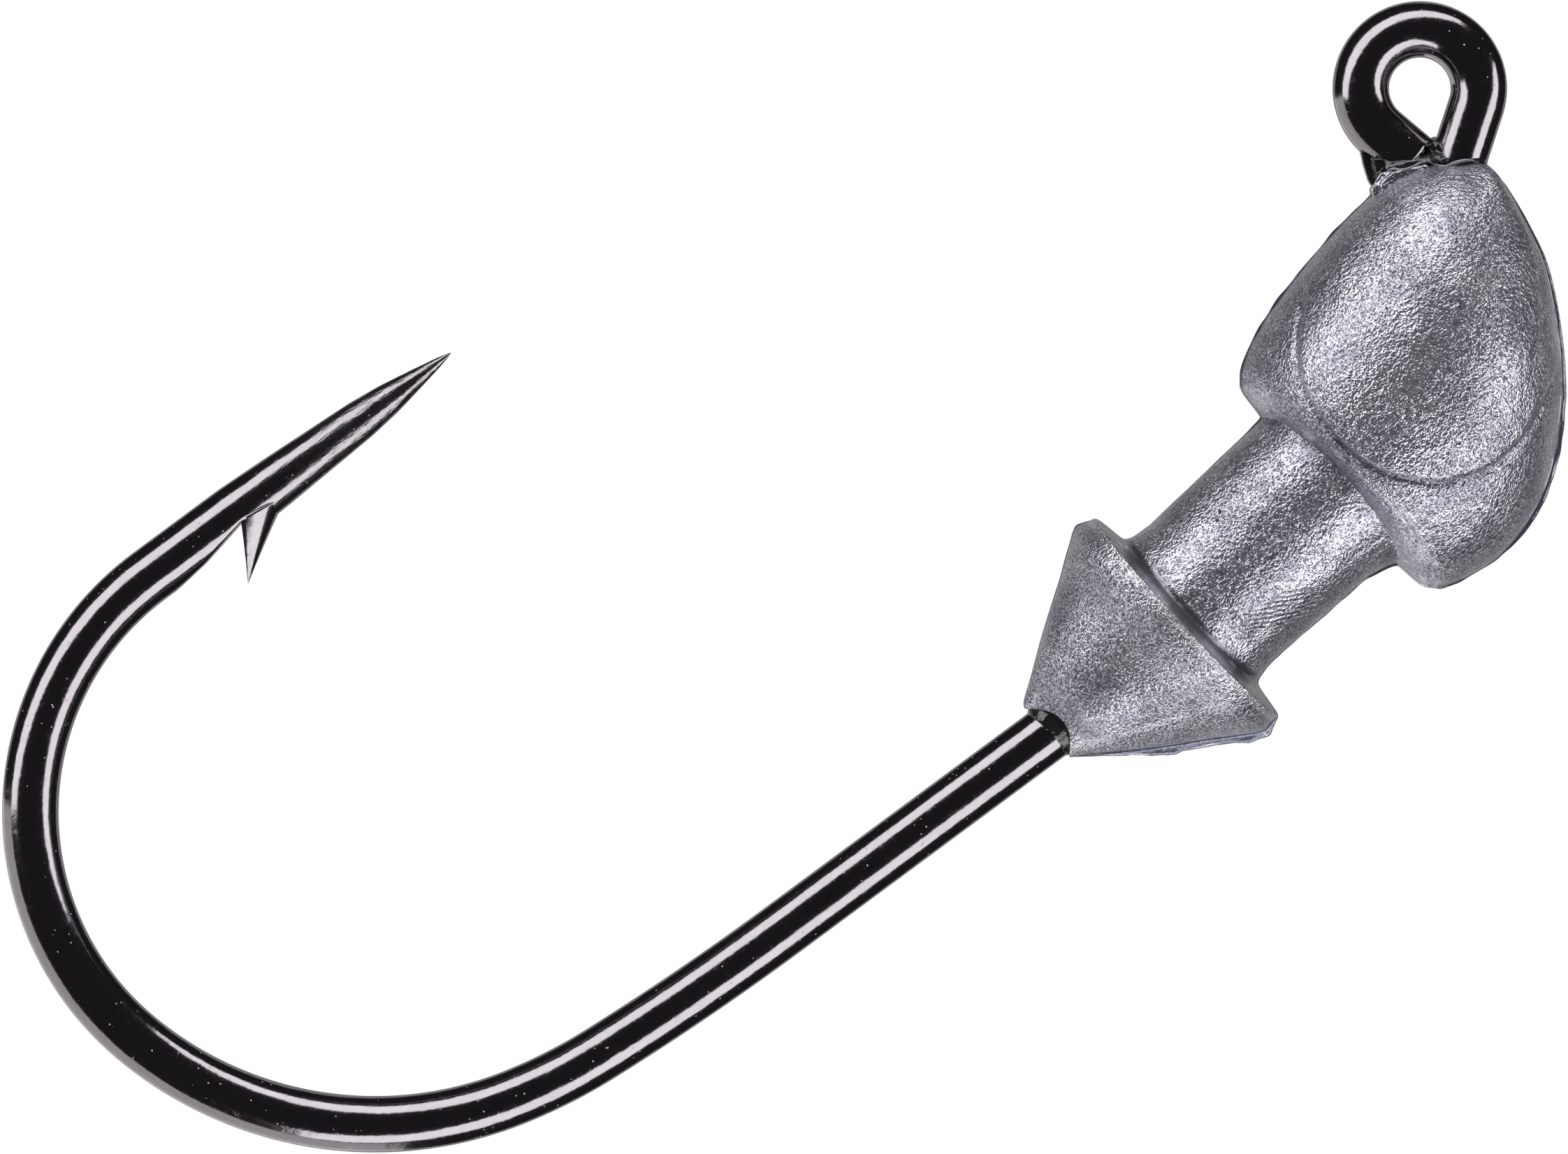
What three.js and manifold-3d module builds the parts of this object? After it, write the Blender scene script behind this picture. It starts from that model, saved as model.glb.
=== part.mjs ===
// A jig head for soft baits: a one-piece wire hook with a lead weight cast around its shank.
//
// Millimetres, +Z up. The hook lies in the XZ plane: +X runs forward along the shank to the nose,
// +Z is the side that the point rides on, and Y is across the hook. The origin is the centre of the
// line-tie eye. The casting has an axis of its own, pitched up from the shank, and is symmetric in Y.
import * as THREE from "three";
import { mergeVertices } from "three/addons/utils/BufferGeometryUtils.js";
import Module from "manifold-3d";

const { degToRad } = THREE.MathUtils;

// ---- driving dimensions ----

const WIRE_R = 0.81; // hook wire, 1.62 mm in diameter
const EYE_R = 1.69; // wire centreline of the eye
const EYE_SWEEP = 248; // degrees of ring, from the straightened cut end round to the leg
const EYE_END = 1.27; // straight cut end, butting against the leg
const LEG_ANGLE = 35.4; // between the eye's leg and the shank
const SHANK_DROP = 8.515; // eye centre down to the shank's centreline
const JIG_BEND_R = 5; // where the leg turns into the shank, inside the casting
const SHANK_STRAIGHT = 18.27; // from the jig bend to the start of the hook's bend
// The hook's bend opens slowly off the shank and closes tighter towards the point: radius, degrees.
const BEND = [
  [81, 4.5],
  [15.6, 10.3],
  [10.7, 61],
  [8.42, 104.2],
];
const POINT_LEG = 10.72; // straight leg from the end of the bend to the tip
const POINT_TAPER = 7.4; // how much of that leg is tapered

// The tapered point: distance from the tip, and radius there.
const POINT_PROFILE = [
  [0, 0],
  [0.3, 0.1],
  [1.2, 0.28],
  [2.2, 0.46],
  [3.2, 0.575],
  [6.2, 0.745],
  [POINT_TAPER + 0.3, 0.795],
];

// The barb and the cut it was lifted from, as distance back from the tip and depth below the leg's axis.
const BARB_OUTLINE = [
  [6.2, 0.3],
  [7.5, 0.15],
  [7.62, 0.5],
  [8.6, 1.87],
  [6.5, 0.68],
];
const BARB_WIDTH = 0.8;
const CUT_OUTLINE = [
  [7.75, 0.38],
  [8.5, 1.5],
  [10.8, 1.5],
  [10.4, 0.83],
  [9.2, 0.69],
];

const CAST_PITCH = 6.3; // casting's axis above the shank
const CAST_ORIGIN = [-8.96, -7.555]; // x and z where its axis meets the rear of the head
const NECK_R = 2.65;
const SHOULDER_A = -5.33; // flat shoulder of the keeper, along the casting's axis
const REAR_DRAFT = 10.8; // degrees that each half of the head's rear face sweeps forward
const DRAFT_FADES_AT = 3; // along the axis, where the head's sides stop following that sweep
const CHANNEL_GAP = 0.03; // lead to wire all round

// Stations of the casting, rear to front: distance along its axis, top, bottom and half width.
// The keeper is a cone with a rolled rim, standing a little high at its tip, on the wire.
const KEEPER = [
  [-10.6, 1.32, -0.8, 1.05],
  [-8.7, 2.47, -2.3, 2.35],
  [-6.2, 3.9, -3.97, 3.8],
  [-5.85, 4.0, -4.08, 3.92],
  [-5.5, 3.84, -4.0, 3.84],
  [SHOULDER_A, 3.55, -3.6, 3.55],
  [SHOULDER_A, 2.9, -2.9, 2.9],
];
// The neck flares into both shoulders.
const NECK = [
  [-5.15, NECK_R + 0.14, -NECK_R - 0.14, NECK_R + 0.14],
  [-4.8, NECK_R + 0.02, -NECK_R - 0.02, NECK_R + 0.02],
  [-4.3, NECK_R - 0.05, -NECK_R + 0.02, NECK_R],
  [-0.9, NECK_R, -NECK_R - 0.08, NECK_R],
  [-0.4, NECK_R, -NECK_R - 0.19, NECK_R + 0.03],
  [-0.1, NECK_R + 0.04, -NECK_R - 0.34, NECK_R + 0.15],
];
const HEAD_REAR = [
  [0, 2.95, -3.3, 3.1],
  [0.06, 3.4, -3.7, 3.55],
];
// The head's own outline is a smooth curve through these.
const HEAD = [
  [0.22, 3.8, -4.06, 3.7],
  [0.55, 4.12, -4.42, 3.88],
  [1.25, 4.44, -4.66, 4.0],
  [2.3, 4.74, -4.82, 4.08],
  [3.6, 4.98, -4.66, 4.06],
  [5.0, 5.15, -4.06, 3.86],
  [6.5, 5.22, -2.87, 3.4],
  [7.5, 5.18, -1.78, 2.88],
  [8.4, 4.95, -0.48, 2.3],
  [9.0, 4.62, 0.6, 1.85],
  [9.4, 4.25, 2.0, 1.45],
  [9.62, 3.95, 3.15, 1.12],
];
const NOSE = [9.7, 3.6]; // foremost point, along and above the axis
const HEAD_STEPS = 24;

// A raised cheek on each side: the gill line is an ellipse-like edge, open towards the nose.
const CHEEK = { a: 4.3, b: 0.95, rear: 3.2, down: 3.65, up: 3.9, rise: 0.22, edge: 0.12 };

// Lead that crept up the foot of the eye, as a lens: centre, tilt, and half sizes.
const CREEP = { x: -1.6, z: -1.85, tilt: -29, long: 1.4, wide: 1, thick: 0.7 };

const WIRE_SIDES = 16;
const SECTION_SIDES = 44;
const STEP_DEGREES = 9; // of turn for each step along a bend

// ---- solids ----

const wasm = await Module();
wasm.setup();

function solidOf(geometry) {
  const bare = geometry.clone();
  bare.deleteAttribute("normal");
  bare.deleteAttribute("uv");
  const merged = mergeVertices(bare, 1e-4);
  return new wasm.Manifold(
    new wasm.Mesh({
      numProp: 3,
      vertProperties: merged.attributes.position.array,
      triVerts: new Uint32Array(merged.index.array),
    }),
  );
}

function geometryOf(solid) {
  const mesh = solid.getMesh();
  const geometry = new THREE.BufferGeometry();
  geometry.setAttribute("position", new THREE.BufferAttribute(mesh.vertProperties, 3));
  geometry.setIndex(new THREE.BufferAttribute(mesh.triVerts, 1));
  return geometry;
}

function largestBody(solid) {
  return solid.decompose().reduce((best, body) => (body.volume() > best.volume() ? body : best));
}

// ---- the wire ----

// A wire in the XZ plane, bent from straight runs and arcs. Every bend turns the same way, clockwise
// seen from -Y. Headings are degrees from +X towards +Z. Arcs get closer steps than straight runs.
class WirePath extends THREE.Curve {
  constructor(x, z, heading, pieces) {
    super();
    this.stations = [];
    this.add(x, z, heading);
    for (const [radius, amount] of pieces) {
      if (radius === 0) {
        x += amount * Math.cos(degToRad(heading));
        z += amount * Math.sin(degToRad(heading));
        this.add(x, z, heading);
        continue;
      }
      const steps = Math.max(2, Math.ceil(amount / STEP_DEGREES));
      const cx = x + radius * Math.sin(degToRad(heading));
      const cz = z - radius * Math.cos(degToRad(heading));
      for (let i = 1; i <= steps; i++) {
        const h = heading - (amount * i) / steps;
        this.add(cx - radius * Math.sin(degToRad(h)), cz + radius * Math.cos(degToRad(h)), h);
      }
      heading -= amount;
      x = cx - radius * Math.sin(degToRad(heading));
      z = cz + radius * Math.cos(degToRad(heading));
    }
  }

  add(x, z, heading) {
    const angle = degToRad(heading);
    this.stations.push({
      point: new THREE.Vector3(x, 0, z),
      tangent: new THREE.Vector3(Math.cos(angle), 0, Math.sin(angle)),
    });
  }

  get steps() {
    return this.stations.length - 1;
  }

  // One station for each step, so that a sweep puts its sections exactly there.
  getPointAt(u) {
    return this.stations[Math.round(u * this.steps)].point.clone();
  }

  getTangentAt(u) {
    return this.stations[Math.round(u * this.steps)].tangent.clone();
  }
}

// From the eye's cut end round the ring, down the leg, along the shank and round the bend.
function hookPath() {
  const leg = degToRad(LEG_ANGLE);
  const toCorner = (SHANK_DROP - EYE_R * Math.cos(leg)) / Math.sin(leg);
  const legRun = toCorner - JIG_BEND_R * Math.tan(leg / 2);
  const startHeading = 180 + LEG_ANGLE + EYE_SWEEP;
  const startAngle = degToRad(startHeading + 90);
  const x = EYE_R * Math.cos(startAngle) - EYE_END * Math.cos(degToRad(startHeading));
  const z = EYE_R * Math.sin(startAngle) - EYE_END * Math.sin(degToRad(startHeading));
  return new WirePath(x, z, startHeading, [
    [0, EYE_END],
    [EYE_R, EYE_SWEEP],
    [0, legRun],
    [JIG_BEND_R, LEG_ANGLE],
    [0, SHANK_STRAIGHT],
    ...BEND,
    [0, POINT_LEG - POINT_TAPER],
  ]);
}

function wireSolid(path, radius) {
  const ring = [];
  for (let i = 0; i < WIRE_SIDES; i++) {
    const angle = (2 * Math.PI * i) / WIRE_SIDES;
    ring.push(new THREE.Vector2(radius * Math.cos(angle), radius * Math.sin(angle)));
  }
  return solidOf(
    new THREE.ExtrudeGeometry(new THREE.Shape(ring), {
      steps: path.steps,
      bevelEnabled: false,
      extrudePath: path,
    }),
  );
}

// Where the tip of the point is.
function tipOf(path) {
  const end = path.stations[path.steps].point;
  return new THREE.Vector3(end.x + POINT_TAPER, 0, end.z);
}

function pointSolid(tip) {
  const curve = new THREE.SplineCurve(POINT_PROFILE.map(([back, r]) => new THREE.Vector2(r, -back)));
  const profile = curve.getPoints(18);
  profile[profile.length - 1].set(POINT_PROFILE.at(-1)[1], -POINT_PROFILE.at(-1)[0]);
  profile.push(new THREE.Vector2(0, -POINT_PROFILE.at(-1)[0]));
  const needle = new THREE.LatheGeometry(profile.reverse(), WIRE_SIDES);
  needle.rotateZ(-Math.PI / 2).translate(tip.x, 0, tip.z);
  return solidOf(needle);
}

// A prism across the hook from an outline of distances back from the tip and depths below the leg.
function wedgeSolid(tip, outline, width) {
  const shape = new THREE.Shape(outline.map(([back, depth]) => new THREE.Vector2(-back, -depth)));
  const wedge = new THREE.ExtrudeGeometry(shape, { depth: width, bevelEnabled: false });
  wedge.rotateX(Math.PI / 2).translate(tip.x, width / 2, tip.z);
  return solidOf(wedge);
}

function hookSolid(path) {
  const tip = tipOf(path);
  return wireSolid(path, WIRE_R)
    .add(pointSolid(tip))
    .subtract(wedgeSolid(tip, CUT_OUTLINE, 4 * WIRE_R))
    .add(wedgeSolid(tip, BARB_OUTLINE, BARB_WIDTH));
}

// ---- the casting ----

function castingStations() {
  const outline = (k) =>
    new THREE.SplineCurve(HEAD.map((station) => new THREE.Vector2(station[0], station[k])));
  const curves = [1, 2, 3].map(outline);
  const head = [];
  for (let i = 0; i <= HEAD_STEPS; i++) {
    const at = curves.map((curve) => curve.getPoint(i / HEAD_STEPS));
    head.push([at[0].x, at[0].y, at[1].y, at[2].y]);
  }
  return [...KEEPER, ...NECK, ...HEAD_REAR, ...head];
}

// How far the cheek stands proud at a point of the head's side, with a soft step at the gill line.
function cheekRise(a, b) {
  const along = (a - CHEEK.a) / CHEEK.rear;
  const across = (b - CHEEK.b) / (b > CHEEK.b ? CHEEK.up : CHEEK.down);
  const inside = 1 - Math.hypot(Math.min(along, 0), across);
  return CHEEK.rise * THREE.MathUtils.smoothstep(inside, 0, CHEEK.edge);
}

// The casting in its own frame: x along its axis, z up. A lathe gives the closed skin, and each of
// its rings is then fitted to its station.
function castingGeometry() {
  const stations = castingStations();
  const first = stations[0];
  const profile = [new THREE.Vector2(0, 0)];
  stations.forEach((station, i) => profile.push(new THREE.Vector2(1, i)));
  profile.push(new THREE.Vector2(0, stations.length - 1));
  const skin = new THREE.LatheGeometry(profile, SECTION_SIDES);
  const position = skin.attributes.position;
  const draft = Math.tan(degToRad(REAR_DRAFT));
  const last = profile.length - 1;
  for (let i = 0; i < position.count; i++) {
    const ring = i % profile.length;
    if (ring === 0) {
      position.setXYZ(i, first[0], 0, (first[1] + first[2]) / 2);
      continue;
    }
    if (ring === last) {
      position.setXYZ(i, NOSE[0], 0, NOSE[1]);
      continue;
    }
    const [a, top, bottom, side] = stations[ring - 1];
    const y = -side * position.getX(i);
    const b = (top + bottom) / 2 + ((top - bottom) / 2) * position.getZ(i);
    const sweep = a < -1 ? 0 : 1 - THREE.MathUtils.smoothstep(a, 0, DRAFT_FADES_AT);
    const rise = a > 0.5 ? cheekRise(a, b) * Math.abs(position.getX(i)) : 0;
    position.setXYZ(i, a + Math.abs(y) * draft * sweep, y + Math.sign(y) * rise, b);
  }
  return skin;
}

// The lead that crept up the foot of the eye.
function creepSolid() {
  const lens = new THREE.SphereGeometry(1, 20, 14);
  lens.scale(CREEP.long, CREEP.wide, CREEP.thick);
  lens.rotateY(degToRad(-CREEP.tilt)).translate(CREEP.x, 0, CREEP.z);
  return solidOf(lens);
}

function castingSolid(channel) {
  const skin = castingGeometry();
  skin.rotateY(degToRad(-CAST_PITCH)).translate(CAST_ORIGIN[0], 0, CAST_ORIGIN[1]);
  return largestBody(solidOf(skin).add(creepSolid()).subtract(channel));
}

// ---- the assembly ----

function piece(name, solid, material) {
  const mesh = new THREE.Mesh(geometryOf(solid), material);
  mesh.name = name;
  return mesh;
}

const blackNickel = new THREE.MeshStandardMaterial({
  color: 0x1a1817,
  metalness: 1,
  roughness: 0.12,
});
const castLead = new THREE.MeshStandardMaterial({
  color: 0x8e9097,
  metalness: 0.9,
  roughness: 0.45,
});

const path = hookPath();
const channel = wireSolid(path, WIRE_R + CHANNEL_GAP);

const jigHead = new THREE.Group();
jigHead.name = "jig_head";
jigHead.add(
  piece("hook", hookSolid(path), blackNickel),
  piece("lead_casting", castingSolid(channel), castLead),
);

export default jigHead;
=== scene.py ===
"""A jig head in Blender: a plated wire hook, a raw lead casting round its shank, and sealant at the eye.

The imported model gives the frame. Places here are in its axes: +X from the hook's bend to the nose, +Z
to the side of the point, Y across the hook, and the origin at the centre of the line-tie eye. Sizes
are in millimetres until a mesh is made, and MM turns them into metres.
"""

import math

import bmesh
import bpy
import numpy as np
from mathutils import Matrix, Vector, noise
from mathutils.bvhtree import BVHTree


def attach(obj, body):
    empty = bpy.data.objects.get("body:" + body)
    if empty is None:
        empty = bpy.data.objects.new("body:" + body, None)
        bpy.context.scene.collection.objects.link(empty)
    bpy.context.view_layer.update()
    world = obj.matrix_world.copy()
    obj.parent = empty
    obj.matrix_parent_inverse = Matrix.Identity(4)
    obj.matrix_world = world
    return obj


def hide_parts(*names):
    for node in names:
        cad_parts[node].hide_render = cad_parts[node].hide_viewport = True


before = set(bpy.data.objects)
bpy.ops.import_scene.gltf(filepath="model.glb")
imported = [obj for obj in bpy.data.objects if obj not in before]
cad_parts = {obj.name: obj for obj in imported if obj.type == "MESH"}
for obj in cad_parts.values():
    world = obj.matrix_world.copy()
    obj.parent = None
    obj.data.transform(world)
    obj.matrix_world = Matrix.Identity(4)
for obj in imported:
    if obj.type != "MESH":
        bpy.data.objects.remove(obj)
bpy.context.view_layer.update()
MM = 0.001

# ---- driving sizes ----

WIRE_R = 0.81
# The eye: its radius to the wire's axis, the degrees of ring, and the straight length at the cut end.
EYE_R = 1.69
EYE_SWEEP = 248
EYE_END = 1.27
# The leg from the eye slopes down to the shank, this far below the eye, and turns along it.
LEG_ANGLE = 35.4
SHANK_DROP = 8.515
JIG_BEND_R = 5
SHANK_STRAIGHT = 18.27
# The bend's arcs from the shank to the point leg: radius and degrees.
BEND = [(81, 4.5), (15.6, 10.3), (10.7, 61), (8.42, 104.2)]
POINT_LEG = 10.72
# The needle point: distance back from the tip, and radius.
NEEDLE = [(0, 0.012), (0.15, 0.06), (0.4, 0.125), (1.2, 0.28), (2.2, 0.46), (3.2, 0.575)]
NEEDLE += [(6.2, 0.745), (7.7, WIRE_R)]
# The floor of the cut behind the barb: distance back from the tip, and depth below the wire's axis.
CUT = [(7.62, 0.33), (8.4, 0.5), (9.2, 0.67), (10.6, 0.84)]
# The length over which the eye's cut end is rounded.
CUT_END_ROUND = 0.12

# The casting's axis: degrees above the shank, and x and z where it meets the rear of the head.
CAST_PITCH = 6.3
CAST_ORIGIN = (-8.96, -7.555)
# Degrees that the head's rear face sweeps forward, and the keeper's shoulder back, on each side.
REAR_DRAFT = 10.8
SHOULDER_SWEEP = 4.5
DRAFT_FADES_AT = 3


def table_at(table, x):
    """The table's second value at x, by straight lines between its entries."""
    if x <= table[0][0]:
        return table[0][1]
    for (x0, y0), (x1, y1) in zip(table, table[1:]):
        if x <= x1:
            return y0 + (y1 - y0) * (x - x0) / (x1 - x0)
    return table[-1][1]


def spline(a, b, c, d, t):
    """A point on the curve from b to c, at t from 0 to 1."""
    square = 2 * a - 5 * b + 4 * c - d
    cube = 3 * b - a - 3 * c + d
    return 0.5 * (2 * b + (c - a) * t + square * t * t + cube * t**3)


def catmull(points, steps):
    """A smooth curve of tuples through the points, with the same number of steps in each span."""
    out = []
    last = len(points) - 1
    for i in range(last):
        p0, p1, p2, p3 = (points[min(max(i + k, 0), last)] for k in (-1, 0, 1, 2))
        for s in range(steps):
            out.append(tuple(spline(*four, s / steps) for four in zip(p0, p1, p2, p3)))
    out.append(tuple(points[-1]))
    return out


def mesh_object(name, verts, faces):
    """A smooth-shaded mesh object from points in millimetres."""
    mesh = bpy.data.meshes.new(name)
    mesh.from_pydata([tuple(c * MM for c in v) for v in verts], [], faces)
    mesh.shade_smooth()
    obj = bpy.data.objects.new(name, mesh)
    bpy.context.scene.collection.objects.link(obj)
    return obj


def tube_faces(rings, sides):
    """Quads between rings of points, with a fan over each end. The end points come after the rings."""
    faces = []
    for r in range(rings - 1):
        for s in range(sides):
            t = (s + 1) % sides
            faces.append((r * sides + s, r * sides + t, (r + 1) * sides + t, (r + 1) * sides + s))
    first, last = rings * sides, rings * sides + 1
    for s in range(sides):
        t = (s + 1) % sides
        faces.append((t, s, first))
        faces.append(((rings - 1) * sides + s, (rings - 1) * sides + t, last))
    return faces


# ---- materials ----


class Nodes:
    """A short way to build a node tree: add() makes a node and links or sets its inputs."""

    def __init__(self, name):
        self.material = bpy.data.materials.new(name)
        self.material.use_nodes = True
        self.tree = self.material.node_tree
        self.tree.nodes.clear()

    def add(self, kind, inputs=None, **settings):
        node = self.tree.nodes.new("ShaderNode" + kind)
        for key, value in settings.items():
            setattr(node, key, value)
        for key, value in (inputs or {}).items():
            if isinstance(value, bpy.types.NodeSocket):
                self.tree.links.new(value, node.inputs[key])
            else:
                node.inputs[key].default_value = value
        return node

    def coords(self):
        """Object coordinates in millimetres."""
        return self.scale(self.add("TexCoord").outputs["Object"], 1 / MM)

    def scale(self, vector, factor):
        return self.add("VectorMath", {0: vector, "Scale": factor}, operation="SCALE").outputs[0]

    def vector(self, operation, a, b):
        return self.add("VectorMath", {0: a, 1: b}, operation=operation).outputs[0]

    def measure(self, operation, a, b):
        """A number from two vectors."""
        return self.add("VectorMath", {0: a, 1: b}, operation=operation).outputs["Value"]

    def noise(self, vector, scale, detail=2, roughness=0.5):
        return self.add(
            "TexNoise", {"Vector": vector, "Scale": scale, "Detail": detail, "Roughness": roughness}
        ).outputs["Fac"]

    def remap(self, value, low, high, to_low, to_high):
        return self.add("MapRange", {0: value, 1: low, 2: high, 3: to_low, 4: to_high}).outputs[0]

    def mix(self, factor, a, b):
        node = self.add("Mix", data_type="RGBA")
        for socket, value in ((node.inputs[0], factor), (node.inputs[6], a), (node.inputs[7], b)):
            if isinstance(value, bpy.types.NodeSocket):
                self.tree.links.new(value, socket)
            else:
                socket.default_value = value
        return node.outputs[2]

    def math(self, operation, a, b=0.0):
        return self.add("Math", {0: a, 1: b}, operation=operation).outputs[0]

    def plus(self, a, b):
        return self.math("ADD", a, b)

    def times(self, a, b):
        return self.math("MULTIPLY", a, b)

    def band(self, value, start, full, end, gone):
        """A mask that rises from start to full, and falls from end to gone."""
        return self.times(self.remap(value, start, full, 0, 1), self.remap(value, end, gone, 1, 0))

    def bump(self, height, strength, distance):
        inputs = {"Height": height, "Strength": strength, "Distance": distance}
        return self.add("Bump", inputs).outputs[0]

    def finish(self, inputs):
        shader = self.add("BsdfPrincipled", inputs)
        self.add("OutputMaterial", {"Surface": shader.outputs[0]})
        return self.material


def black_nickel(tip):
    """Bright black nickel on drawn wire: orange peel, dust, fine rubs, and grinding at the point."""
    n = Nodes("black_nickel")
    at = n.coords()
    peel = n.noise(at, 1.6, 2)
    fine = n.noise(at, 14, 3, 0.7)
    cells = n.add("TexVoronoi", {"Vector": at, "Scale": 4.2, "Randomness": 1.0})
    dusty = n.remap(n.noise(at, 0.7, 2), 0.43, 0.51, 0, 1)
    speck = n.times(n.remap(cells.outputs["Distance"], 0.05, 0.1, 1, 0), dusty)
    rub = n.remap(n.noise(at, 3.5, 5, 0.75), 0.56, 0.72, 0, 1)
    ground = n.remap(n.measure("DISTANCE", at, tip), 3.5, 7.5, 1, 0)
    rough = n.plus(n.remap(fine, 0.3, 0.7, 0.08, 0.17), n.times(rub, 0.1))
    rough = n.plus(rough, n.times(ground, 0.1))
    rough = n.plus(rough, n.times(speck, 0.5))
    tint = n.mix(peel, (0.31, 0.285, 0.305, 1), (0.38, 0.355, 0.38, 1))
    tint = n.mix(speck, tint, (0.95, 0.93, 0.9, 1))
    height = n.plus(n.times(peel, 1.2), n.times(fine, 0.12))
    height = n.plus(height, n.times(speck, 1.6))
    marks = n.noise(n.vector("MULTIPLY", at, (1.2, 5, 5)), 1, 3, 0.6)
    height = n.plus(height, n.times(marks, n.times(ground, 3.0)))
    return n.finish(
        {
            "Base Color": tint,
            "Metallic": 1.0,
            "Roughness": rough,
            "Normal": n.bump(height, 0.5, 0.02 * MM),
        }
    )


def casting_axes(n, at, across):
    """How far a point is along the casting's axis, following the shoulder's sweep, and above it."""
    pitch = math.radians(CAST_PITCH)
    origin = (CAST_ORIGIN[0], 0, CAST_ORIGIN[1])
    place = n.vector("SUBTRACT", at, origin)
    along = n.measure("DOT_PRODUCT", place, (math.cos(pitch), 0, math.sin(pitch)))
    above = n.measure("DOT_PRODUCT", place, (-math.sin(pitch), 0, math.cos(pitch)))
    return n.plus(along, n.times(across, math.tan(math.radians(SHOULDER_SWEEP)))), above


def painted_flash_highlight_mask(n, at, across, along, above):
    """A mask for a painted highlight along the edge of the mould's fin, beside the parting plane and
    under the nose.
    """
    below = n.math("SUBTRACT", above, n.times(along, 0.42))
    mask = n.times(n.remap(below, -1.2, -0.6, 1, 0), n.band(along, 2.5, 4, 8.7, 9.3))
    mask = n.times(mask, n.remap(n.noise(at, 1.3, 3), 0.42, 0.52, 0.35, 1))
    return n.times(mask, n.band(across, 0.44, 0.5, 0.6, 0.66))


def drag_marks(n, at, sideways):
    """A mask for the fine scores low on the neck, on the near side."""
    place = n.vector("SUBTRACT", at, (-12.18, 0, -9.66))
    long = n.measure("DOT_PRODUCT", place, (0.7, 0, -0.08))
    wide = n.measure("DOT_PRODUCT", place, (0.23, 0, 2.0))
    spread = n.math("SQRT", n.plus(n.times(long, long), n.times(wide, wide)))
    phase = n.measure("DOT_PRODUCT", place, (23, 0, 46))
    phase = n.plus(phase, n.times(n.noise(at, 1.5, 3), 9))
    mask = n.remap(n.math("SINE", phase), 0.1, 0.8, 0, 1)
    mask = n.times(mask, n.remap(spread, 0.55, 1.1, 1, 0))
    return n.times(mask, n.remap(sideways, -1, 0, 1, 0))


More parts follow.
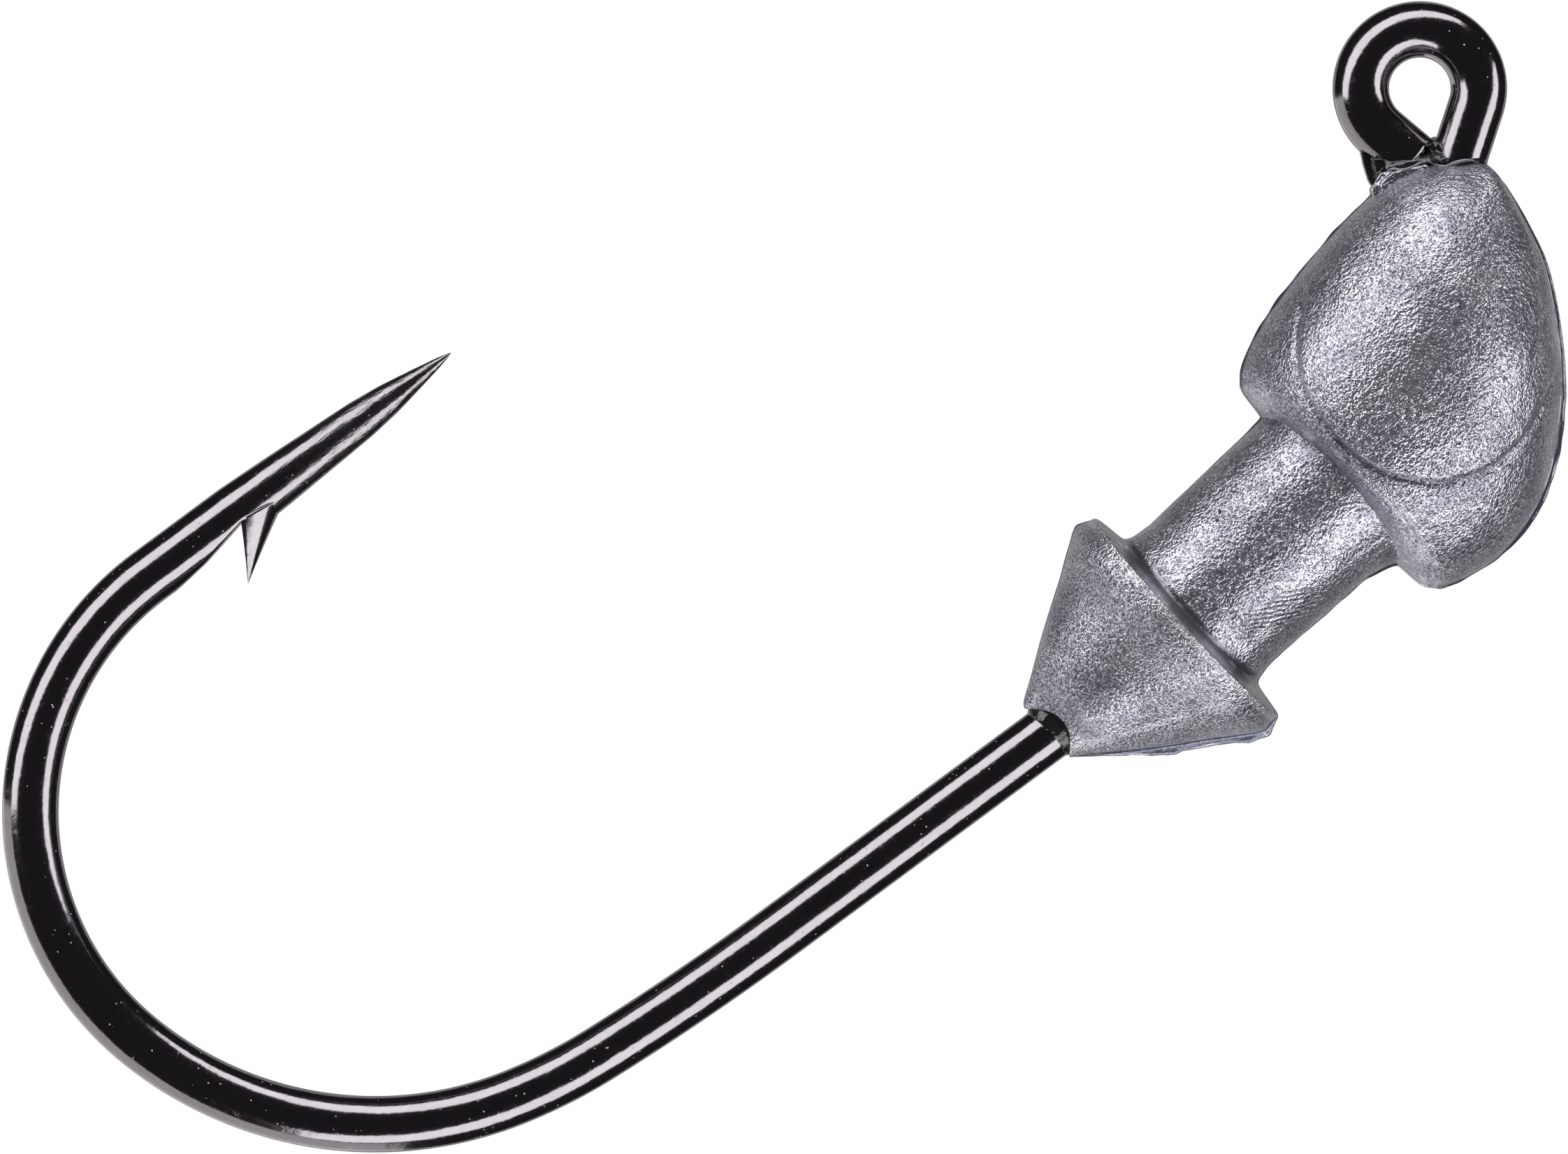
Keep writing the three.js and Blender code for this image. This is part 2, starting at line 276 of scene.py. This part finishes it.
def cast_lead():
    """Raw lead from a mould: blue-grey metal, crinkled all over, smoother on the parting seam."""
    n = Nodes("cast_lead")
    at = n.coords()
    warp = n.add("TexNoise", {"Vector": at, "Scale": 4.0, "Detail": 3}).outputs["Color"]
    bent = n.vector("ADD", at, n.scale(warp, 0.13))
    sideways = n.add("SeparateXYZ", {0: at}).outputs[1]
    across = n.math("ABSOLUTE", sideways)
    along, above = casting_axes(n, at, across)

    # Masks.
    seam = n.remap(across, 0.12, 0.3, 1, 0)
    # The keeper's shoulder strip: painted shade, and smoother relief.
    shoulder = n.band(along, -5.46, -5.4, -5.12, -5.02)
    # A painted highlight: a bright line along the lip of the keeper's rim.
    rim_lip_highlight = n.band(along, -5.7, -5.6, -5.47, -5.43)
    # A painted highlight along the edge of the mould's fin, under the nose.
    flash_highlight = painted_flash_highlight_mask(n, at, across, along, above)
    score = drag_marks(n, at, sideways)
    patch = n.remap(n.noise(at, 0.4, 2), 0.42, 0.6, 1, 0.7)
    cells = n.add("TexVoronoi", {"Vector": bent, "Scale": 2.1, "Randomness": 1.0})
    clusters = n.remap(n.noise(at, 0.9, 1), 0.56, 0.62, 0, 1)
    pore = n.times(n.remap(cells.outputs["Distance"], 0.06, 0.13, 1, 0), clusters)

    # Relief.
    crinkle = n.noise(bent, 7.5, 1.5, 0.6)
    grit = n.noise(bent, 15, 1, 0.6)
    height = n.plus(crinkle, n.times(grit, 0.35))
    height = n.math("SUBTRACT", n.times(height, patch), n.times(pore, 0.8))
    height = n.times(height, n.remap(seam, 0, 1, 1, 0.15))
    height = n.times(height, n.remap(shoulder, 0, 1, 1, 0.15))
    height = n.math("SUBTRACT", height, n.times(score, 0.5))

    # Colour: broad patches, then dark hollows, then each mask, then painted shade in corners and
    # creases, and worn ridges lightened partly as a painted highlight.
    broad = n.noise(at, 0.75, 4, 0.65)
    grit_hollow = n.times(n.remap(grit, 0.38, 0.52, 0.75, 0), patch)
    crinkle_hollow = n.times(n.remap(crinkle, 0.36, 0.46, 0.5, 0), patch)
    open_sky = n.add("AmbientOcclusion", {"Distance": 0.7 * MM}, samples=12).outputs["AO"]
    pointed = n.add("NewGeometry").outputs["Pointiness"]
    tints = [
        (grit_hollow, (0.16, 0.16, 0.21, 1)),
        (crinkle_hollow, (0.2, 0.2, 0.25, 1)),
        (n.times(seam, 0.85), (0.13, 0.14, 0.2, 1)),
        (n.times(score, 0.7), (0.07, 0.07, 0.1, 1)),
        # Painted highlight on the rim's lip.
        (n.times(rim_lip_highlight, 0.6), (1, 0.97, 1, 1)),
        # Painted highlight: near white along the edge of the mould's fin.
        (flash_highlight, (1, 0.98, 1, 1)),
        # Painted shade: the keeper's shoulder strip darkened.
        (n.times(shoulder, 0.8), (0.2, 0.2, 0.23, 1)),
        (n.times(pore, 0.85), (0.05, 0.05, 0.07, 1)),
        # Painted shade: darker where ambient occlusion finds a corner or crease.
        (n.remap(open_sky, 0.5, 0.9, 0.8, 0), (0.08, 0.08, 0.11, 1)),
        # Convex edges and the keeper's ragged rim: partly real wear, partly a painted highlight.
        (n.remap(pointed, 0.515, 0.57, 0, 0.8), (0.9, 0.88, 0.96, 1)),
    ]
    pale, dull = (0.84, 0.82, 0.91, 1), (0.52, 0.515, 0.6, 1)
    colour = n.mix(n.remap(broad, 0.36, 0.6, 0, 1), dull, pale)
    for mask, tint in tints:
        colour = n.mix(mask, colour, tint)
    return n.finish(
        {
            "Base Color": colour,
            # Less metallic on the painted highlight, so that it shows white.
            "Metallic": n.remap(flash_highlight, 0, 1, 0.78, 0.1),
            "Roughness": n.remap(broad, 0.3, 0.7, 0.26, 0.2),
            "Normal": n.bump(height, 1.0, 0.055 * MM),
        }
    )


def sealant(name, low, high):
    """Glossy clear sealant, dark over the plated wire behind it, and pale as a painted highlight where
    it gathers at an edge.
    """
    n = Nodes(name)
    at = n.coords()
    tint = n.mix(n.noise(at, 3, 2), (low, low, low * 1.1, 1), (high, high, high * 1.1, 1))
    wave = n.noise(at, 2.2, 2)
    return n.finish(
        {
            "Base Color": tint,
            "Roughness": 0.05,
            "IOR": 1.6,
            "Coat Weight": 1.0,
            "Coat Roughness": 0.02,
            "Normal": n.bump(wave, 0.8, 0.25 * MM),
        }
    )


# ---- the wire ----


def wire_stations(step=0.12, step_degrees=2.5):
    """(x, z, heading in degrees, distance) along the wire, from the eye's cut end to the tip."""
    heading = 180 + LEG_ANGLE + EYE_SWEEP
    start = math.radians(heading + 90)
    x = EYE_R * math.cos(start) - EYE_END * math.cos(math.radians(heading))
    z = EYE_R * math.sin(start) - EYE_END * math.sin(math.radians(heading))
    leg = math.radians(LEG_ANGLE)
    leg_run = (SHANK_DROP - EYE_R * math.cos(leg)) / math.sin(leg) - JIG_BEND_R * math.tan(leg / 2)
    # Each piece is a radius and its degrees, or 0 and a straight length.
    pieces = [(0, EYE_END), (EYE_R, EYE_SWEEP), (0, leg_run), (JIG_BEND_R, LEG_ANGLE)]
    pieces += [(0, SHANK_STRAIGHT)] + BEND + [(0, POINT_LEG)]
    out = [(x, z, heading, 0.0)]
    travelled = 0.0
    for radius, amount in pieces:
        length = amount if radius == 0 else radius * math.radians(amount)
        count = max(2, math.ceil(length / step))
        if radius:
            count = max(count, math.ceil(amount / step_degrees))
        for _ in range(count):
            if radius == 0:
                x += length / count * math.cos(math.radians(heading))
                z += length / count * math.sin(math.radians(heading))
            else:
                turn = amount / count
                chord = 2 * radius * math.sin(math.radians(turn / 2))
                x += chord * math.cos(math.radians(heading - turn / 2))
                z += chord * math.sin(math.radians(heading - turn / 2))
                heading -= turn
            travelled += length / count
            out.append((x, z, heading, travelled))
    return out


def make_hook(material):
    """The wire, swept along its stations, and the barb lifted off it."""
    sides = 56
    stations = wire_stations()
    total = stations[-1][3]
    verts = []
    for x, z, heading, travelled in stations:
        back = total - travelled
        radius = min(table_at(NEEDLE, back), WIRE_R)
        if travelled < CUT_END_ROUND:
            radius *= 0.86 + 0.14 * math.sqrt(1 - (1 - travelled / CUT_END_ROUND) ** 2)
        depth = table_at(CUT, back) if CUT[0][0] <= back <= CUT[-1][0] else math.inf
        nx, nz = -math.sin(math.radians(heading)), math.cos(math.radians(heading))
        for s in range(sides):
            angle = 2 * math.pi * s / sides
            across, out = radius * math.sin(angle), radius * math.cos(angle)
            out = max(out, -depth)
            verts.append((x + nx * out, across, z + nz * out))
    x0, z0 = stations[0][:2]
    x1, z1 = stations[-1][:2]
    verts += [(x0, 0, z0), (x1, 0, z1)]
    hook = mesh_object("hook_wire", verts, tube_faces(len(stations), sides))
    hook.data.materials.append(material)
    barb = make_barb(x1, z1)
    barb.data.materials.append(material)
    return hook, barb


# Half the barb's section, as shares: how far from the rear edge to the front edge, and how thick.
BARB_HALF = [(0.01, 0.6), (0.015, 0.97), (0.03, 0.985), (0.14, 0.99), (0.3, 1), (0.46, 0.99)]
BARB_HALF += [(0.6, 0.93), (0.72, 0.83), (0.83, 0.67), (0.92, 0.47), (0.98, 0.24)]
# Where its front and its rear edge start, and its tip: distance back from the wire's tip, and depth.
BARB_FRONT = (6.15, 0.5)
BARB_REAR = (7.66, 0.25)
BARB_TIP = (8.6, 1.87)
# Half its thickness: how much it loses from root to tip, and what is left at the tip.
BARB_TAPER = 0.74
BARB_TIP_HALF = 0.015


def make_barb(tip_x, tip_z):
    """A sliver lifted off the wire's inner side: round in front like the wire, flat behind."""
    section = [(0, 0)] + BARB_HALF + [(1, 0)] + [(u, -w) for u, w in reversed(BARB_HALF)]
    rings = 26
    verts = []
    for r in range(rings):
        t = r / (rings - 1)
        front = (
            BARB_FRONT[0] + (BARB_TIP[0] - BARB_FRONT[0]) * t,
            BARB_FRONT[1] + (BARB_TIP[1] - BARB_FRONT[1]) * t**1.1,
        )
        rear = (
            BARB_REAR[0] + (BARB_TIP[0] - BARB_REAR[0]) * t,
            BARB_REAR[1] + (BARB_TIP[1] - BARB_REAR[1]) * t**0.95,
        )
        half = BARB_TAPER * (1 - t) + BARB_TIP_HALF
        for u, w in section:
            back = rear[0] + (front[0] - rear[0]) * u
            down = rear[1] + (front[1] - rear[1]) * u
            verts.append((tip_x - back, half * w, tip_z - down))
    verts += [(tip_x - 6.9, 0, tip_z - 0.38), (tip_x - BARB_TIP[0], 0, tip_z - BARB_TIP[1])]
    return mesh_object("hook_barb", verts, tube_faces(rings, len(section)))


# ---- the casting ----

# Distance along the casting's axis, top, bottom, half width.
KEEPER = [
    (-10.63, 1.18, -0.7, 0.99),
    (-10.5, 1.36, -0.8, 1.09),
    (-9.9, 1.72, -1.24, 1.44),
    (-8.7, 2.47, -2.15, 2.13),
    (-7.4, 3.2, -3.02, 2.87),
    (-6.35, 3.84, -3.74, 3.46),
    (-6.1, 3.97, -3.88, 3.6),
    (-6.0, 4.0, -3.92, 3.66),
    (-5.9, 3.99, -3.93, 3.71),
    (-5.52, 3.82, -3.87, 3.92),
    (-5.45, 3.78, -3.84, 3.93),
    (-5.4, 3.7, -3.74, 3.82),
    (-5.34, 3.4, -3.4, 3.4),
    (-5.28, 2.95, -2.95, 2.92),
    (-5.2, 2.78, -2.78, 2.74),
    (-4.95, 2.68, -2.69, 2.67),
    (-4.4, 2.61, -2.63, 2.64),
]
NECK = [
    (-0.9, 2.64, -2.72, 2.65),
    (-0.4, 2.65, -2.84, 2.66),
    (-0.06, 2.68, -2.98, 2.68),
    (0.0, 2.8, -3.15, 2.76),
    (0.03, 3.1, -3.45, 3.02),
    (0.07, 3.5, -3.78, 3.3),
    (0.14, 3.72, -3.98, 3.46),
]
HEAD = [
    (0.28, 3.87, -4.14, 3.6),
    (0.55, 4.1, -4.4, 3.75),
    (1.25, 4.44, -4.66, 3.9),
    (2.3, 4.74, -4.82, 4.0),
    (3.6, 4.98, -4.66, 4.0),
    (5.0, 5.15, -4.06, 3.84),
    (6.5, 5.22, -2.87, 3.4),
    (7.5, 5.18, -1.78, 2.88),
    (8.4, 4.8, -0.48, 2.3),
    (9.0, 4.28, 0.6, 1.85),
    (9.4, 3.97, 1.9, 1.45),
    (9.62, 3.66, 2.9, 1.0),
]
NOSE = (9.7, 3.3)
# The gill line, from its upper end round to the belly: along the axis, and above it.
GILL = [
    (3.3, 4.6),
    (2.9, 4.2),
    (2.2, 3.7),
    (1.6, 3.0),
    (1.3, 2.4),
    (1.12, 1.6),
    (1.05, 0.8),
    (1.1, 0.2),
    (1.3, -0.6),
    (1.8, -1.4),
    (2.3, -2.0),
    (2.9, -2.4),
    (3.5, -2.65),
    (4.2, -2.75),
    (5.0, -2.7),
    (5.8, -2.5),
    (6.6, -2.2),
    (7.4, -1.9),
]
GILL_STEP = 0.17
# The keeper's rim along the axis, and its radius.
RIM_AT = -5.47
RIM_R = 3.9
# How far the lead's small end is hollowed round the wire on either flank.
SOCKET = 0.55
# The flash at the mould's parting line: along the axis, and how far it stands out below and above.
FLASH_BELOW = [(-10.6, 0.02), (-9.8, 0.1), (-8.7, 0.3), (-7.6, 0.26), (-6.6, 0.3), (-6, 0.2)]
FLASH_BELOW += [(-5.5, 0.06), (-4.8, 0.02), (-1, 0.03), (0.3, 0.08), (1.5, 0.02), (4, 0.05)]
FLASH_BELOW += [(6, 0.1), (9.4, 0.08), (9.7, 0)]
FLASH_ABOVE = [(-10.6, 0), (-6, 0.03), (-5, 0), (0, 0.03), (2, 0.05), (6, 0.04), (9.7, 0.03)]
# The mould's far half sat a little low and forward of the near one.
MISMATCH = (0.05, -0.09)


def smooth(x, low, high):
    """0 up to low and 1 from high on, with a soft ramp between."""
    t = np.clip((x - low) / (high - low), 0, 1)
    return t * t * (3 - 2 * t)


def lookup(table, x):
    """The table's second value at each x."""
    return np.interp(x, [row[0] for row in table], [row[1] for row in table])


def inside_gill(a, b):
    """How far each point is inside the gill line, negative outside it."""
    line = np.array(catmull(GILL, 4))
    best = np.full(a.shape, 99.0)
    for (a0, b0), (a1, b1) in zip(line, line[1:]):
        da, db = a1 - a0, b1 - b0
        t = np.clip(((a - a0) * da + (b - b0) * db) / (da * da + db * db), 0, 1)
        ea, eb = a - a0 - da * t, b - b0 - db * t
        signed = np.hypot(ea, eb) * np.where(da * eb - db * ea > 0, 1, -1)
        best = np.where(np.abs(signed) < np.abs(best), signed, best)
    return best


def ragged(x, size, seed):
    """Smooth noise along x, from 0 to 1."""
    values = [0.5 + 0.5 * noise.noise(Vector((v / size, seed, 0))) for v in np.ravel(x)]
    return np.array(values).reshape(np.shape(x))


def hump(x, middle, width):
    """A smooth hump of height 1."""
    return np.exp(-(((x - middle) / width) ** 2))


def casting_skin(rings, angles):
    """The skin's points in the casting's own frame, one row for each ring."""
    a, top, bottom, side = (np.array(column)[:, None] for column in zip(*rings))
    cos, sin = np.cos(angles)[None, :], np.sin(angles)[None, :]
    y = side * cos
    b = (top + bottom) / 2 + (top - bottom) / 2 * sin
    # The mould's draft sweeps the rear of the head forward, and the keeper's shoulder back.
    draft = math.tan(math.radians(REAR_DRAFT)) * (1 - smooth(a, 0, DRAFT_FADES_AT)) * (a > -1)
    sweep = math.tan(math.radians(SHOULDER_SWEEP))
    shoulder = sweep * smooth(a, -7.5, -5.9) * (1 - smooth(a, -5.3, -4.6))
    socket = SOCKET * cos**2 * (1 - smooth(a, -10.6, -9.3))
    along = a + np.abs(y) * (draft - shoulder) + socket
    # The cheek stands out inside the gill line, with a groove along the line.
    inside = inside_gill(along, b)
    cheek = GILL_STEP * smooth(inside, -0.02, 0.08) + 0.05 * smooth(inside, 0, 1.2)
    cheek = cheek - 0.09 * hump(inside, -0.02, 0.07)
    y = y + np.sign(cos) * cheek * np.minimum(1, np.abs(cos) * 2) * (a > 0.3)
    # The rim has a burr, ragged both outwards and along the axis.
    burr = 0.12 * hump(a, RIM_AT, 0.07) * ragged(angles * RIM_R, 0.22, 5.5)[None, :] ** 2
    along = along + 0.12 * hump(a, RIM_AT, 0.1) * (ragged(angles * RIM_R, 0.3, 9.1)[None, :] - 0.5)
    y, b = y * (1 + burr / RIM_R), b * (1 + burr / RIM_R)
    # Flash is a thin fin in the parting plane.
    fin = np.exp(-((y / 0.11) ** 4))
    below = lookup(FLASH_BELOW, a) * (0.35 + 1.3 * ragged(a, 0.45, 3.1)) * (sin < 0)
    above = lookup(FLASH_ABOVE, a) * (0.2 + 1.6 * ragged(a, 0.6, 7.7)) * (sin > 0)
    b = b + (above - below) * fin
    # A low ridge runs beside the parting plane under the nose.
    under_nose = (sin < 0) * smooth(a, 2.5, 5) * smooth(side, 1.5, 2.6)
    ridge = 0.034 * hump(np.abs(y), 0.55, 0.05) * under_nose
    along, b = along + 0.7 * ridge, b - 0.7 * ridge
    # The head's far half is shifted by the mismatch.
    far = smooth(y, -0.02, 0.05) * smooth(a, 1, 4)
    return along + MISMATCH[0] * far, y, b + MISMATCH[1] * far * (sin < 0.3)


def to_row(a, y, b):
    """From the casting's own frame to the row's."""
    pitch = math.radians(CAST_PITCH)
    x = CAST_ORIGIN[0] + a * math.cos(pitch) - b * math.sin(pitch)
    z = CAST_ORIGIN[1] + a * math.sin(pitch) + b * math.cos(pitch)
    return x, y, z


def make_casting(material):
    """The lead's skin: rings round its axis, lumpy as cast, closed at both ends."""
    sides = 400
    turn = np.linspace(0, 2 * np.pi, sides, endpoint=False)
    angles = turn + 0.33 * np.sin(2 * turn)  # closer together towards the parting plane
    rings = catmull(KEEPER, 7)[:-1] + catmull([KEEPER[-1], NECK[0]], 24)[:-1]
    rings += catmull(NECK, 5)[:-1] + catmull([NECK[-1]] + HEAD, 14)
    x, y, z = to_row(*casting_skin(rings, angles))
    verts = [tuple(v) for v in np.stack([x, y, z], -1).reshape(-1, 3)]
    for i, point in enumerate(verts):
        lump = noise.noise(Vector(point) * 0.9) * 0.035 + noise.noise(Vector(point) * 2.7) * 0.012
        verts[i] = (point[0], point[1] + math.copysign(lump, point[1]), point[2] + lump * 0.3)
    verts.append(to_row(rings[0][0] + 0.8, 0, (rings[0][1] + rings[0][2]) / 2))
    verts.append(to_row(NOSE[0], 0, NOSE[1]))
    casting = mesh_object("lead_body", verts, tube_faces(len(rings), sides))
    casting.data.materials.append(material)
    return casting


# ---- the sealant ----

# The film's edge along the lead at the foot of the eye: x, z and its thickness.
MENISCUS = [
    (-2.2, -1.33, 0.02),
    (-2.02, -1.4, 0.045),
    (-1.83, -1.6, 0.055),
    (-1.55, -1.69, 0.05),
    (-1.3, -1.72, 0.045),
    (-1.1, -1.8, 0.05),
    (-0.98, -2.02, 0.04),
    (-0.82, -2.22, 0.05),
    (-0.55, -2.3, 0.06),
    (-0.25, -2.42, 0.05),
    (-0.02, -2.6, 0.02),
]


def blob_mesh(name, blobs, slabs=()):
    """Ellipsoids and flat slabs welded into one smooth skin.

    Each ellipsoid is a centre, half sizes and a tilt in degrees. Each slab is an outline of (x, z)
    and a half width.
    """
    bm = bmesh.new()
    for (x, y, z), (long, wide, thick), tilt in blobs:
        turn = Matrix.Rotation(math.radians(-tilt), 4, "Y")
        stretch = Matrix.Diagonal((long * MM, wide * MM, thick * MM, 1))
        matrix = Matrix.Translation(Vector((x, y, z)) * MM) @ turn @ stretch
        bmesh.ops.create_icosphere(bm, subdivisions=4, radius=1, matrix=matrix)
    for outline, half in slabs:
        points = [(x, side * half, z) for x, z in outline for side in (-1, 1)]
        corners = [bm.verts.new(Vector(point) * MM) for point in points]
        bmesh.ops.convex_hull(bm, input=corners)
    mesh = bpy.data.meshes.new(name)
    bm.to_mesh(mesh)
    bm.free()
    obj = bpy.data.objects.new(name, mesh)
    bpy.context.scene.collection.objects.link(obj)
    remesh = obj.modifiers.new("weld", "REMESH")
    remesh.mode = "VOXEL"
    remesh.voxel_size = 0.04 * MM
    remesh.use_smooth_shade = True
    flow = obj.modifiers.new("flow", "SMOOTH")
    flow.iterations = 8
    return obj


def make_sealant(material):
    """The film of sealant that creeps up the wire from the head, with a bead in the crotch."""
    tail = [(-2.44, -0.4), (-2.62, -0.8), (-2.76, -1.2), (-2.8, -1.42), (-1.7, -1.9), (-1.6, -1.2)]
    web = [(-2.3, -0.8), (-2.45, -1.1), (-2.6, -1.5), (-1.7, -1.9), (-1.7, -1.3)]
    film = blob_mesh(
        "sealant_film",
        [
            ((-1.6, 0, -1.55), (1.0, 0.86, 0.34), -27),
            ((-0.2, 0, -2.52), (0.62, 0.87, 0.24), -33),
            ((-0.8, 0, -1.92), (0.42, 0.86, 0.28), -38),
            ((-0.8, 0, -1.6), (0.3, 0.5, 0.3), 0),
            ((-0.56, 0, -1.58), (0.17, 0.55, 0.26), 0),
            ((-0.64, -0.5, -1.7), (0.13, 0.2, 0.3), -10),
            ((-0.64, 0.5, -1.7), (0.13, 0.2, 0.3), -10),
            ((-0.72, -0.8, -2.06), (0.17, 0.16, 0.11), -30),
        ],
        [(tail, 0.3), (web, 0.62)],
    )
    film.data.materials.append(material)
    return film


def make_collar(material):
    """The same sealant, drawn up round the wire where it leaves the lead's small end."""
    blob = ((-19.25, 0, -SHANK_DROP + 0.07), (0.68, 0.87, 0.96), 0)
    collar = blob_mesh("sealant_collar", [blob])
    collar.data.materials.append(material)
    return collar


def make_meniscus(material, underneath):
    """The film's thin edge along the lead, pale as a painted highlight, laid on the near and the far
    face.

    Rays from each side find how far out the pieces underneath reach.
    """
    depsgraph = bpy.context.evaluated_depsgraph_get()
    trees = [BVHTree.FromObject(obj, depsgraph) for obj in underneath]
    sides = 12
    line = catmull(MENISCUS, 6)
    edges = []
    for side in (-1, 1):
        verts = []
        for i, (x, z, radius) in enumerate(line):
            start = Vector((x, side * 6, z)) * MM
            hits = [tree.ray_cast(start, Vector((0, -side, 0)))[0] for tree in trees]
            reach = max((side * hit.y / MM for hit in hits if hit), default=0.8)
            x0, z0, _ = line[max(i - 1, 0)]
            x1, z1, _ = line[min(i + 1, len(line) - 1)]
            run = math.hypot(x1 - x0, z1 - z0)
            along, rise = (x1 - x0) / run, (z1 - z0) / run
            for s in range(sides):
                angle = 2 * math.pi * s / sides * side
                up, out = radius * math.sin(angle), radius * math.cos(angle)
                verts.append((x - up * rise, side * (reach + out), z + up * along))
        for x, z, _ in (line[0], line[-1]):
            verts.append((x, side * 0.8, z))
        edge = mesh_object("sealant_edge_highlight", verts, tube_faces(len(line), sides))
        edge.data.materials.append(material)
        edges.append(edge)
    return edges


def make_creep(material):
    """Lead that crept up behind the foot of the eye."""
    inner = [(-2.86, -1.46), (-2.4, -1.27), (-2.1, -1.37), (-1.86, -1.58)]
    inner += [(-1.2, -1.8), (-1.1, -2.3), (-3.0, -1.8)]
    outer = [(-2.6, -1.5), (-2.1, -1.45), (-1.84, -1.62), (-1.2, -1.85), (-1.1, -2.3), (-2.8, -2.0)]
    root = ((-1.4, 0, -2.2), (0.6, 0.9, 0.4), -28)
    creep = blob_mesh("lead_creep", [root], [(inner, 0.72), (outer, 0.93)])
    creep.data.materials.append(material)
    return creep


# ---- the studio ----


def panel(name, centre, size, target, radiance):
    """A softbox: a rectangular area light that only lights and reflects."""
    data = bpy.data.lights.new(name, "AREA")
    data.shape = "RECTANGLE"
    data.size, data.size_y = (s * MM for s in size)
    data.energy = radiance * math.pi * data.size * data.size_y
    light = bpy.data.objects.new(name, data)
    light.location = Vector(centre) * MM
    light.rotation_euler = (Vector(target) - Vector(centre)).to_track_quat("-Z", "Y").to_euler()
    light.visible_camera = False
    bpy.context.scene.collection.objects.link(light)
    return light


def white_cove():
    """A white floor that runs up into a plain wall all round, seen by the camera only."""
    floor_z, flat, bend = -30, 700, 300
    turns = (0.3, 0.6, 0.9, 1.2, math.pi / 2)
    profile = [(r, floor_z) for r in (0, 100, 400, flat)]
    profile += [(flat + bend * math.sin(a), floor_z + bend - bend * math.cos(a)) for a in turns]
    profile += [(1000, 700), (800, 1000), (0, 1100)]
    sides = 64
    verts = []
    for r, z in profile[1:-1]:
        for s in range(sides):
            angle = 2 * math.pi * s / sides
            verts.append((r * math.cos(angle), r * math.sin(angle), z))
    verts += [(0, 0, profile[0][1]), (0, 0, profile[-1][1])]
    cove = mesh_object("floor", verts, tube_faces(len(profile) - 2, sides))
    n = Nodes("paper")
    glow = n.add("Emission", {"Color": (1, 1, 1, 1), "Strength": 1.0})
    n.add("OutputMaterial", {"Surface": glow.outputs[0]})
    cove.data.materials.append(n.material)
    cove.visible_diffuse = cove.visible_glossy = False
    cove.visible_transmission = cove.visible_shadow = False
    return cove


def light_studio():
    """Two long softboxes on the camera's side, above and below the hook, in a dim room."""
    world = bpy.data.worlds.new("room")
    world.use_nodes = True
    world.node_tree.nodes["Background"].inputs["Color"].default_value = (0.022, 0.021, 0.023, 1)
    bpy.context.scene.world = world
    # Which side of the hook each softbox is on, and where it starts and ends along the shank.
    off = 120
    for side, start, end in ((1, -205, 345), (-1, -180, 400)):
        middle, forward = (start + end) / 2, -0.69 * off
        size = (end - start, 0.92 * off)
        panel("softbox", (middle, forward, side * off), size, (middle, forward, 0), 2.1)
    panel("reflector", (-220, 170, -60), (400, 400), (0, 170, -60), 0.7)
    panel("backdrop", (0, 420, 0), (700, 700), (0, 0, 0), 0.35)
    white_cove()


def aim_camera():
    """Square on to the hook's plane, rolled so that the shank climbs to the right at 36.5 degrees."""
    data = bpy.data.cameras.new("camera")
    camera = bpy.data.objects.new("camera", data)
    bpy.context.scene.collection.objects.link(camera)
    distance, frame_width, roll = 350, 44.88, math.radians(36.5)
    data.sensor_width = 36
    data.lens = data.sensor_width * distance / frame_width
    data.clip_start, data.clip_end = 0.01, 5
    camera.location = Vector((-22.95, -distance, -0.42)) * MM
    level = Matrix.Rotation(math.pi / 2, 4, "X")
    camera.rotation_euler = (Matrix.Rotation(roll, 4, "Y") @ level).to_euler()
    bpy.context.scene.camera = camera


# ---- the assembly ----


def place(piece, node, slot):
    """Make the piece move with the root body, and hide the CAD node that it stands for. The slot is not
    used.
    """
    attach(piece, "root")
    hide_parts(node)


tip_x, tip_z = wire_stations()[-1][:2]
nickel = black_nickel((tip_x, 0, tip_z))
lead = cast_lead()
dark = sealant("sealant", 0.01, 0.03)
wire, barb = make_hook(nickel)
casting = make_casting(lead)
creep = make_creep(lead)
film = make_sealant(dark)
# The meniscus edge uses a pale copy of the sealant: a painted highlight.
edges = make_meniscus(sealant("sealant_edge_highlight", 0.3, 0.5), [wire, casting, creep, film])
for piece in [wire, barb, film, make_collar(dark)] + edges:
    place(piece, "hook", "hook")
for piece in (casting, creep):
    place(piece, "lead_casting", "lead")

light_studio()
aim_camera()
bpy.context.scene.view_settings.view_transform = "Standard"
